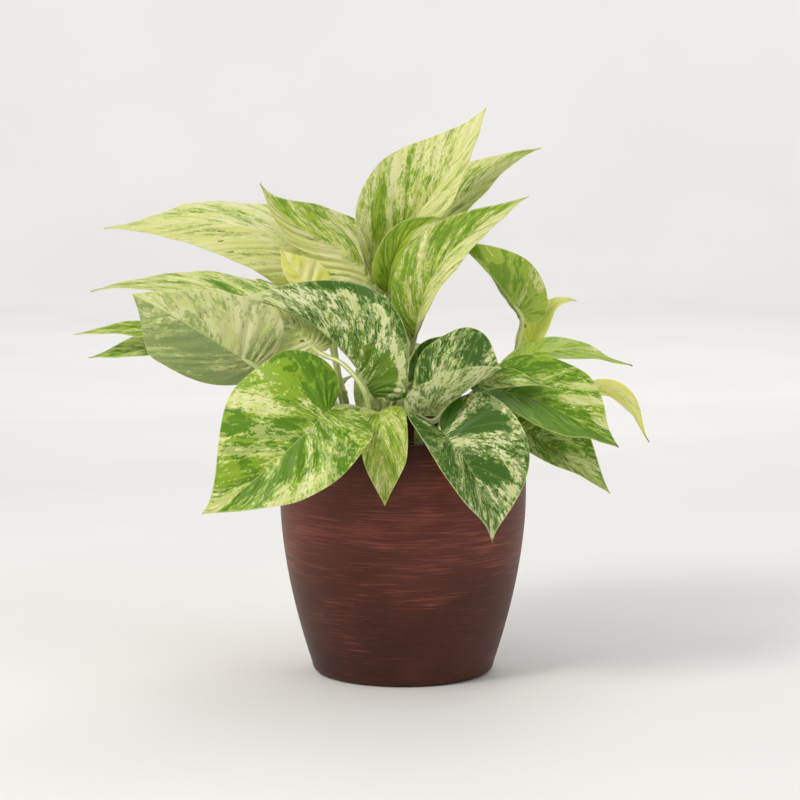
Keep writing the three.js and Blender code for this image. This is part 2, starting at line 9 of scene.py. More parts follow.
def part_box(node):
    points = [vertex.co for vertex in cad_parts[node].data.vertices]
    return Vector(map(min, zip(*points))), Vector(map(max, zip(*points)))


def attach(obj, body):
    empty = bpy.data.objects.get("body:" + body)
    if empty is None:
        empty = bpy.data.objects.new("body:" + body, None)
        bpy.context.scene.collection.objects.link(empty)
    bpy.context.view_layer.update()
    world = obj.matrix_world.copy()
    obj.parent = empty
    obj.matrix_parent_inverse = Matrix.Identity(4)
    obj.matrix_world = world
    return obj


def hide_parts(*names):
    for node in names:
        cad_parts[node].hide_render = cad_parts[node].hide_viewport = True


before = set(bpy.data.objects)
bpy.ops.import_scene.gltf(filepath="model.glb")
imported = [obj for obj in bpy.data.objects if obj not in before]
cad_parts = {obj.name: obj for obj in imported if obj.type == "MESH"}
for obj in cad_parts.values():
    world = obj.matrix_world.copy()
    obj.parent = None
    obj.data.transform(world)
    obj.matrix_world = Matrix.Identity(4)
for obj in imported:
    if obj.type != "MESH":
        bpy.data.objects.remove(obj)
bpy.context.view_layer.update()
mm = 0.001
print("frame loaded,", len(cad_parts), "nodes")


# Small helpers for meshes

def makeObject(name, points, faces, materials, faceMaterials=None):
    mesh = bpy.data.meshes.new(name)
    mesh.from_pydata([tuple(p) for p in points], [], faces)
    for material in materials:
        mesh.materials.append(material)
    if faceMaterials is not None:
        mesh.polygons.foreach_set("material_index", faceMaterials)
    mesh.shade_smooth()
    mesh.set_sharp_from_angle(angle=math.radians(55))
    piece = bpy.data.objects.new(name, mesh)
    bpy.context.scene.collection.objects.link(piece)
    return piece


def addAttribute(piece, name, values):
    attribute = piece.data.attributes.new(name, "FLOAT_VECTOR", "POINT")
    attribute.data.foreach_set("vector", np.asarray(values, np.float32).ravel())


def tubeFaces(rings, sides):
    # quads between the rings, and a fan at each end to one of the two points after them
    faces = []
    for j in range(rings - 1):
        for k in range(sides):
            a, b = j * sides + k, j * sides + (k + 1) % sides
            faces.append((a, b, b + sides, a + sides))
    first, top = rings * sides, (rings - 1) * sides
    for k in range(sides):
        faces.append((first, (k + 1) % sides, k))
        faces.append((first + 1, top + k, top + (k + 1) % sides))
    return faces


def lathe(profile, sides):
    # profile: (radius, height) from axis to axis; the ends become single points
    points = []
    for radius, height in profile[1:-1]:
        for k in range(sides):
            turn = 2 * math.pi * k / sides
            points.append((radius * math.cos(turn), radius * math.sin(turn), height))
    points += [(0, 0, profile[0][1]), (0, 0, profile[-1][1])]
    return points, tubeFaces(len(profile) - 2, sides)


def bezier(corners, share):
    # a Bezier curve of two, three or four corners at an array of shares
    degree = len(corners) - 1
    s = np.asarray(share, float)[..., None]
    return sum(math.comb(degree, k) * s**k * (1 - s) ** (degree - k) * np.asarray(corner, float)
               for k, corner in enumerate(corners))


def unit(vectors):
    vectors = np.asarray(vectors, float)
    return vectors / np.maximum(np.linalg.norm(vectors, axis=-1, keepdims=True), 1e-12)


def mix(a, b, share):
    return a + (b - a) * share


def smooth(value, low, high):
    x = np.clip((value - low) / (high - low), 0, 1)
    return x * x * (3 - 2 * x)


def stepLengths(path):
    return np.linalg.norm(np.diff(path, axis=0), axis=1)


def distances(path):
    # how far along the path each of its points lies
    return np.concatenate([[0], np.cumsum(stepLengths(path))])


def inRows(*parts):
    # three arrays as rows of three values
    return np.stack(np.broadcast_arrays(*parts), axis=-1).reshape(-1, 3)


def resample(path, count):
    # the same path with its points at even distances
    lengths = distances(path)
    wanted = np.linspace(0, lengths[-1], count)
    return np.stack([np.interp(wanted, lengths, path[:, k]) for k in range(3)], axis=1)


def smoothPath(points, count):
    # a centripetal Catmull-Rom curve through the points, as even steps
    points = [np.asarray(p, float) for p in points]
    points = [2 * points[0] - points[1], *points, 2 * points[-1] - points[-2]]
    pieces = []
    for p0, p1, p2, p3 in zip(points, points[1:], points[2:], points[3:]):
        g0, g1, g2 = (math.sqrt(np.linalg.norm(b - a)) for a, b in ((p0, p1), (p1, p2), (p2, p3)))
        start = ((p1 - p0) / g0 - (p2 - p0) / (g0 + g1) + (p2 - p1) / g1) * g1
        end = ((p2 - p1) / g1 - (p3 - p1) / (g1 + g2) + (p3 - p2) / g2) * g1
        s = np.linspace(0, 1, 24, endpoint=False)[:, None]
        square = -3 * p1 + 3 * p2 - 2 * start - end
        cube = 2 * p1 - 2 * p2 + start + end
        pieces.append(p1 + start * s + square * s**2 + cube * s**3)
    pieces.append(points[-2][None, :])
    return resample(np.concatenate(pieces), count)


def sweep(path, radii, sides, upAtEnd, groove=0.0):
    # a closed stem along a path: rings stand square to it, with a shallow groove on their upper side
    along = unit(np.gradient(path, axis=0))
    up = np.zeros_like(path)
    last = np.asarray(upAtEnd, float)
    for j in range(len(path) - 1, -1, -1):
        last = last - along[j] * np.dot(last, along[j])
        last = last / np.linalg.norm(last)
        up[j] = last
    aside = np.cross(along, up)
    turns = 2 * math.pi * np.arange(sides) / sides
    shape = 1 - groove * np.exp(-((np.minimum(turns, 2 * math.pi - turns)) / 0.55) ** 2)
    out = radii[:, None] * shape
    rings = path[:, None] + (out * np.cos(turns))[..., None] * up[:, None]
    rings = rings + (out * np.sin(turns))[..., None] * aside[:, None]
    points = [*rings.reshape(-1, 3), path[0], path[-1]]
    faces = [(face[0], *face[:0:-1]) for face in tubeFaces(len(path), sides)]
    lengths = distances(path)
    around = np.where(turns > math.pi, turns - 2 * math.pi, turns)
    places = inRows(around, lengths[:, None], radii[:, None])
    places = np.concatenate([places, [[0, 0, radii[0]], [0, lengths[-1], radii[-1]]]])
    return points, faces, places


# Materials are built with this desk of nodes

def tint(code):
    # a colour code as the linear colour that the shader takes
    parts = [int(code[k:k + 2], 16) / 255 for k in (1, 3, 5)]
    linear = [c / 12.92 if c <= 0.04045 else ((c + 0.055) / 1.055) ** 2.4 for c in parts]
    return (*linear, 1.0)


class ShaderDesk:
    def __init__(self, name):
        self.material = bpy.data.materials.new(name)
        self.material.use_nodes = True
        self.tree = self.material.node_tree
        self.shader = self.tree.nodes["Principled BSDF"]

    def put(self, socket, value):
        if isinstance(value, bpy.types.NodeSocket):
            self.tree.links.new(value, socket)
        elif value is not None:
            socket.default_value = value

    def add(self, kind, inputs=(), **settings):
        node = self.tree.nodes.new("ShaderNode" + kind)
        for key, value in settings.items():
            setattr(node, key, value)
        for socket, value in dict(inputs).items():
            self.put(node.inputs[socket], value)
        return node

    def attribute(self, name):
        return self.add("Attribute", attribute_name=name).outputs["Vector"]

    def place(self):
        return self.add("TexCoord").outputs["Object"]

    def split(self, vector):
        return self.add("SeparateXYZ", {0: vector}).outputs

    def stretch(self, vector, sizes, shift=(0, 0, 0)):
        node = self.add("VectorMath", {0: vector}, operation="MULTIPLY_ADD")
        node.inputs[1].default_value = [1 / s for s in sizes]
        node.inputs[2].default_value = shift
        return node.outputs[0]

    def noise(self, vector, detail=2.0, rough=0.5, scale=1.0):
        inputs = {"Vector": vector, "Scale": scale, "Detail": detail, "Roughness": rough}
        return self.add("TexNoise", inputs).outputs["Fac"]

    def maths(self, operation, a, b=None, c=None):
        node = self.add("Math", operation=operation)
        for socket, value in zip(node.inputs, (a, b, c)):
            self.put(socket, value)
        return node.outputs[0]

    def total(self, *terms):
        # each term is a socket or (socket, factor); a number is added as it is
        result = 0.0
        for term in terms:
            if isinstance(term, tuple):
                result = self.maths("MULTIPLY_ADD", term[0], term[1], result)
            else:
                result = self.maths("ADD", result, term)
        return result

    def step(self, value, low, high, first=0.0, last=1.0):
        inputs = {"Value": value, "From Min": low, "From Max": high, "To Min": first, "To Max": last}
        return self.add("MapRange", inputs, interpolation_type="SMOOTHSTEP").outputs[0]

    def blend(self, share, a, b, mode="MIX"):
        node = self.add("Mix", data_type="RGBA", blend_type=mode)
        self.put(node.inputs["Factor"], share)
        self.put(node.inputs[6], tint(a) if isinstance(a, str) else a)
        self.put(node.inputs[7], tint(b) if isinstance(b, str) else b)
        return node.outputs[2]

    def finish(self, colour, roughness, height=None, depth=0.0, **sockets):
        self.put(self.shader.inputs["Base Color"], colour)
        self.put(self.shader.inputs["Roughness"], roughness)
        if height is not None:
            bump = self.add("Bump", {"Height": height, "Distance": depth, "Strength": 1.0})
            self.put(self.shader.inputs["Normal"], bump.outputs[0])
        for key, value in sockets.items():
            self.put(self.shader.inputs[key.replace("_", " ")], value)
        return self.material


# Camera and stage

studio = dict(
    cameraPlace=(-0.0019, -1.676, 0.361), cameraDown=6.4, cameraLens=120,
    floorRadius=3.0, bowlCorner=0.9, bowlHeight=2.6,
    floorColour="#efeeec", floorShade="#ebeae8", skyColour="#fafbff", skyStrength=0.6)
lights = dict(
    key_light=dict(place=(-1.4, -1.3, 1.8), aim=(0, 0, 0.18), size=1, power=34, colour="#fffaf2"),
    fill_light=dict(place=(1.7, -1.3, 0.9), aim=(0, 0, 0.18), size=1.3, power=6, colour="#f8faff"),
    back_light=dict(place=(0.5, 1.5, 1.8), aim=(0, 0, 0.18), size=1.2, power=9, colour="#fffdf8"),
    wall_light=dict(place=(0, 1.6, 2.6), aim=(0, 4, 1.9), size=2.4, power=30, colour="#ffffff"))


def makeCamera():
    lens = bpy.data.cameras.new("photo_camera")
    lens.lens = studio["cameraLens"]
    lens.sensor_width = 36
    lens.clip_start = 0.01
    camera = bpy.data.objects.new("photo_camera", lens)
    camera.location = studio["cameraPlace"]
    camera.rotation_euler = (math.radians(90 - studio["cameraDown"]), 0, 0)
    bpy.context.scene.collection.objects.link(camera)
    bpy.context.scene.camera = camera


def makeLights():
    for name, light in lights.items():
        lamp = bpy.data.lights.new(name, "AREA")
        lamp.shape = "DISK"
        lamp.size = light["size"]
        lamp.energy = light["power"]
        lamp.color = tint(light["colour"])[:3]
        holder = bpy.data.objects.new(name, lamp)
        holder.location = light["place"]
        aim = Vector(light["aim"]) - holder.location
        holder.rotation_euler = aim.to_track_quat("-Z", "Y").to_euler()
        bpy.context.scene.collection.objects.link(holder)
    world = bpy.data.worlds.new("soft_room")
    world.use_nodes = True
    sky = world.node_tree.nodes["Background"]
    sky.inputs["Color"].default_value = tint(studio["skyColour"])
    sky.inputs["Strength"].default_value = studio["skyStrength"]
    bpy.context.scene.world = world


def makeStage():
    # a pale floor that curves up into a wall all round, far outside the object
    radius, corner = studio["floorRadius"], studio["bowlCorner"]
    profile = [(radius * k / 8, 0) for k in range(8)]
    for k in range(13):
        turn = math.pi / 2 * k / 12
        profile.append((radius + corner * math.sin(turn), corner * (1 - math.cos(turn))))
    profile.append((radius + corner, studio["bowlHeight"]))
    points, faces = lathe(profile + [(0, 0)], 96)
    wall = len(points) - 1
    faces = [face for face in faces if wall not in face]
    desk = ShaderDesk("stage_paint")
    cloud = desk.noise(desk.place(), scale=3)
    colour = desk.blend(desk.step(cloud, 0.3, 0.7), studio["floorColour"], studio["floorShade"])
    stage = makeObject("pale_floor", points[:-1], faces, [desk.finish(colour, 0.75)])


makeCamera()
makeLights()
makeStage()
bpy.context.scene.view_settings.view_transform = "Standard"
print("camera, lights and floor made")


# The pot: a turned shell in brushed brown plastic

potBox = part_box("pot")
# the paler brown of the belly band is painted light
pot = dict(
    height=potBox[1].z, bellyRadius=potBox[1].x, bellyHeight=0.112, topRadius=0.0775, footRadius=0.056,
    sideCurve=1.75, corner=0.006, wall=0.0026, floor=0.004, floorCorner=0.004, lip=0.0008, sides=192,
    wallSteps=40, cornerSteps=8, lipSteps=8, holes=4, holeRadius=0.005, holeRing=0.03, litBellyBrown="#6a3628",
    brown="#482116", darkBrown="#37180e", hairBrown="#5a3226", copper="#a0553f",
    hairSize=(0.02, 0.02, 0.00026), strokeSize=(0.034, 0.034, 0.0006), driftSize=(0.07, 0.07, 0.016),
    cloudScale=26, bandFrom=(0.035, 0.095), bandTo=(0.154, 0.13), relief=0.00008)


def potRadiusAt(height):
    if height > pot["bellyHeight"]:
        up = (height - pot["bellyHeight"]) / (pot["height"] - pot["bellyHeight"])
        return mix(pot["bellyRadius"], pot["topRadius"], up * up)
    down = 1 - height / pot["bellyHeight"]
    return mix(pot["bellyRadius"], pot["footRadius"], down ** pot["sideCurve"])


def potProfile():
    corner, wall, lip, height = pot["corner"], pot["wall"], pot["lip"], pot["height"]
    profile = [(0, 0), (pot["footRadius"] * 0.3, 0), (pot["footRadius"] * 0.7, 0)]
    for k in range(pot["cornerSteps"] + 1):
        turn = math.pi / 2 * k / pot["cornerSteps"]
        inset = corner * (1 - math.sin(turn))
        profile.append((potRadiusAt(corner) - inset, corner * (1 - math.cos(turn))))
    for k in range(1, pot["wallSteps"] + 1):
        z = mix(corner, height - lip, k / pot["wallSteps"])
        profile.append((potRadiusAt(z), z))
    for k in range(1, pot["lipSteps"]):
        turn = math.pi * k / pot["lipSteps"]
        middle = pot["topRadius"] - wall / 2
        profile.append((middle + wall / 2 * math.cos(turn), height - lip + lip * math.sin(turn)))
    inner = pot["floor"] + pot["floorCorner"]
    for k in range(pot["wallSteps"], -1, -1):
        z = mix(inner, height - lip, k / pot["wallSteps"])
        profile.append((potRadiusAt(z) - wall, z))
    for k in range(1, pot["cornerSteps"] + 1):
        turn = math.pi / 2 * k / pot["cornerSteps"]
        radius = potRadiusAt(inner) - wall - pot["floorCorner"] * (1 - math.cos(turn))
        profile.append((radius, inner - pot["floorCorner"] * math.sin(turn)))
    return profile + [(pot["footRadius"] * 0.4, pot["floor"]), (0, pot["floor"])]


def potFinish():
    desk = ShaderDesk("brushed_brown_plastic")
    place = desk.place()
    height = desk.split(place)[2]
    hairs = desk.noise(desk.stretch(place, pot["hairSize"]), rough=0.6)
    strokes = desk.noise(desk.stretch(place, pot["strokeSize"], (3, 1, 7)), detail=3, rough=0.6)
    drifts = desk.noise(desk.stretch(place, pot["driftSize"], (9, 4, 2)))
    clouds = desk.noise(place, detail=3, scale=pot["cloudScale"])
    # belly band of denser copper strokes; painted light: a paler belly, with foot and rim darker as in
    # shade
    strokesAndLitBand = desk.maths("MULTIPLY", desk.step(height, *pot["bandFrom"]), desk.step(height, *pot["bandTo"]))
    worn = desk.total((hairs, 0.8), (strokes, 0.9), (drifts, 0.6), (strokesAndLitBand, 0.14), -1.32)
    base = desk.blend(desk.step(clouds, 0.35, 0.65), pot["darkBrown"], pot["brown"])
    base = desk.blend(desk.total((strokesAndLitBand, 0.55)), base, pot["litBellyBrown"])
    base = desk.blend(desk.step(hairs, 0.35, 0.7, 0, 0.3), base, pot["hairBrown"])
    colour = desk.blend(desk.step(worn, -0.02, 0.16, 0, 0.6), base, pot["copper"])
    roughness = desk.total((hairs, 0.14), (worn, -0.1), 0.38)
    relief = desk.total((hairs, 0.6), (strokes, 0.4))
    return desk.finish(colour, roughness, relief, pot["relief"], Specular_IOR_Level=0.24)


def makePot():
    points, faces = lathe(potProfile(), pot["sides"])
    body = makeObject("brushed_pot", points, faces, [potFinish()])
    cutters = []
    for k in range(pot["holes"]):
        turn = 2 * math.pi * (k + 0.5) / pot["holes"]
        place = (pot["holeRing"] * math.cos(turn), pot["holeRing"] * math.sin(turn), 0)
        mesh = bpy.data.meshes.new("hole_cutter")
        shape = bmesh.new()
        bmesh.ops.create_cone(shape, cap_ends=True, segments=32, radius1=pot["holeRadius"],
                              radius2=pot["holeRadius"], depth=4 * pot["floor"],
                              matrix=Matrix.Translation(place))
        shape.to_mesh(mesh)
        shape.free()
        cutter = bpy.data.objects.new("hole_cutter", mesh)
        bpy.context.scene.collection.objects.link(cutter)
        cut = body.modifiers.new("drain_hole", "BOOLEAN")
        cut.object = cutter
        cut.operation = "DIFFERENCE"
        cutters.append(cutter)
    depsgraph = bpy.context.evaluated_depsgraph_get()
    cutMesh = bpy.data.meshes.new_from_object(body.evaluated_get(depsgraph))
    body.modifiers.clear()
    body.data = cutMesh
    for cutter in cutters:
        bpy.data.objects.remove(cutter)
    body.data.shade_smooth()
    body.data.set_sharp_from_angle(angle=math.radians(50))
    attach(body, "root")
    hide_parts("pot")


makePot()
print("pot made")


# The potting mix: a crumbly top with bark and perlite, a plain body below it

soil = dict(
    belowRim=0.017, crown=0.004, sides=120, topRings=46, bodyRings=10, gap=0.0005, lift=0.0003,
    corner=0.0055, waves=0.0014, clods=0.0011, cloddiness=160, seed=14)
# what the mix is made of, and how many pieces of each kind lie on top, with their sizes and shape
mixKinds = dict(
    peat_and_coir=dict(
        dark="#1c1410", light="#43332a", grain=0.0035, roughness=0.85, count=420,
        sizes=(0.0006, 0.0017), shape=(1, 1, 0.8)),
    bark_chips=dict(
        dark="#3a2619", light="#6b4a35", grain=0.004, roughness=0.75, count=60,
        sizes=(0.0012, 0.0026), shape=(1.7, 0.8, 0.4)),
    perlite_grains=dict(
        dark="#b9b3a4", light="#d8d4c8", grain=0.002, roughness=0.8, count=46,
        sizes=(0.0007, 0.0015), shape=(1, 0.95, 0.85)))


def soilFinish(name, kind):
    desk = ShaderDesk(name)
    place, size = desk.place(), kind["grain"]
    clods = desk.noise(place, detail=4, rough=0.65, scale=1 / size)
    grains = desk.noise(place, rough=0.6, scale=6 / size)
    share = desk.step(desk.total((clods, 0.7), (grains, 0.3)), 0.38, 0.64)
    relief = desk.total((clods, 0.6), (grains, 0.4))
    rough = desk.total((grains, 0.1), kind["roughness"])
    return desk.finish(desk.blend(share, kind["dark"], kind["light"]), rough, relief, size * 0.12)


def unevenAt(x, y):
    return soil["waves"] * math.sin(x / mm / 7 + 1) * math.cos(y / mm / 9)


def makeSoil():
    random.seed(soil["seed"])
    top = pot["height"] - soil["belowRim"]
    bottom = pot["floor"] + soil["lift"]

    def inner(z):
        return potRadiusAt(z) - pot["wall"] - soil["gap"]

    profile = [(0, bottom), (inner(bottom) - soil["corner"], bottom)]
    for k in range(soil["bodyRings"] + 1):
        z = mix(bottom + soil["corner"], top - 0.0008, k / soil["bodyRings"])
        profile.append((inner(z), z))
    for k in range(soil["topRings"]):
        share = 0.985 * (1 - k / soil["topRings"])
        profile.append((inner(top) * share, top + soil["crown"] * (1 - share * share)))
    profile.append((0, top + soil["crown"]))
    points, faces = lathe(profile, soil["sides"])
    surface = []
    for x, y, z in points:
        if z > top - 0.0001:
            spot = Vector((x, y, 0))
            clods = noise.fractal(spot * soil["cloddiness"], 0.8, 2.1, 4) * soil["clods"]
            z += (unevenAt(x, y) + clods) * min(1, (inner(top) - math.hypot(x, y)) / 0.004 + 0.2)
        surface.append((x, y, z))
    materials = [soilFinish(name, kind) for name, kind in mixKinds.items()]
    kinds = [0] * len(faces)
    ball = bmesh.new()
    bmesh.ops.create_icosphere(ball, subdivisions=2, radius=1)
    ballPoints = [v.co.copy() for v in ball.verts]
    ballFaces = [[v.index for v in f.verts] for f in ball.faces]
    ball.free()
    for number, kind in enumerate(mixKinds.values()):
        for k in range(kind["count"]):
            radius = (inner(top) - 0.003) * math.sqrt(random.random())
            turn = random.uniform(0, 2 * math.pi)
            x, y = radius * math.cos(turn), radius * math.sin(turn)
            size = random.uniform(*kind["sizes"])
            share = radius / inner(top)
            z = top + soil["crown"] * (1 - share * share) + unevenAt(x, y) + size * 0.15
            turned = Matrix.Rotation(random.uniform(0, 6.3), 3, "Z")
            turned = turned @ Matrix.Rotation(random.uniform(-0.5, 0.5), 3, "X")
            first = len(surface)
            for corner in ballPoints:
                lump = 1 + 0.35 * noise.noise(corner * 1.6 + Vector((k, number * 7, 0)))
                local = Vector([c * s for c, s in zip(corner * lump, kind["shape"])]) * size
                surface.append(tuple(turned @ local + Vector((x, y, z))))
            faces += [tuple(first + i for i in face) for face in ballFaces]
            kinds += [number] * len(ballFaces)
    piece = makeObject("crumbly_potting_mix", surface, faces, materials, kinds)
    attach(piece, "root")
    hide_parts("potting_mix")


makeSoil()
print("potting mix made")


# The vines, in millimetres: where each stands in the potting mix, and its top

vine = dict(radius=3.6, footHeight=112, sides=24, steps=70, swelling=0.75, notch=0.25)
vinePlan = dict(
    front_left=((-12, -32), (-20, -42, 174)), front_right=((20, -32), (27, -48, 172)),
    left=((-42, -4), (-56, -10, 176)), right=((42, 4), (56, 4, 176)),
    centre=((-12, 4), (-18, 2, 188)), back=((10, 38), (12, 46, 178)),
    back_left=((-32, 30), (-40, 36, 176)), back_right=((40, 36), (50, 42, 172)))


def vinePath(name, count):
    (x, y), top = vinePlan[name]
    foot = vine["footHeight"]
    corners = [(x, y, foot), (x, y, mix(foot, top[2], 0.55)), top]
    return resample(bezier(corners, np.linspace(0, 1, 200)), count)


stemColours = dict(
    green_vine=dict(green="#abbc5c", deep="#849a42", cream="#d6d9a0", woody="#6e5a38"),
    green_petiole=dict(green="#ced88c", deep="#b5c56a", cream="#e6e9b4"))


def stemFinish(name):
    colours = stemColours[name]
    desk = ShaderDesk(name)
    own = desk.place()
    streaks = desk.stretch(desk.attribute("stemPlace"), (0.9, 26, 3))
    streaks = desk.noise(streaks, detail=3, rough=0.6)
    flecks = desk.noise(own, scale=420)
    shade = desk.noise(own, detail=1, scale=60)
    colour = desk.blend(desk.step(shade, 0.4, 0.6), colours["deep"], colours["green"])
    colour = desk.blend(desk.step(streaks, 0.53, 0.58), colour, colours["cream"])
    if "woody" in colours:
        bark = desk.total((desk.split(own)[2], -38), (flecks, 0.8), 5.3)
        colour = desk.blend(desk.step(bark, 0, 0.6), colour, colours["woody"])
    relief = desk.total((streaks, 0.5), (flecks, 0.3))
    return desk.finish(colour, desk.total((flecks, 0.12), 0.36), relief, 0.00015)


def makeVine(name, roots, finish):
    path = vinePath(name, vine["steps"])
    share = np.linspace(0, 1, vine["steps"])
    length = stepLengths(path).sum()
    radii = np.full(vine["steps"], vine["radius"] - 0.35)
    for root in roots:
        away = (share - root) * length
        radii += vine["swelling"] * np.exp(-((away / 1.6) ** 2))
        radii -= vine["notch"] * np.exp(-(((away - 2.6) / 0.5) ** 2))
    radii = np.minimum(radii, vine["radius"] + 0.4)
    end = np.clip((1 - share) * length / 3.2, 0, 1)
    radii *= np.sqrt(1 - (1 - end) ** 2 * 0.96)
    points, faces, places = sweep(path, radii, vine["sides"], (0, 1, 0.1))
    points = [Vector(p) * mm for p in points]
    piece = makeObject(name + "_vine", points, faces, [finish])
    addAttribute(piece, "stemPlace", places)
    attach(piece, "root")
    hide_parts("vine_" + name)


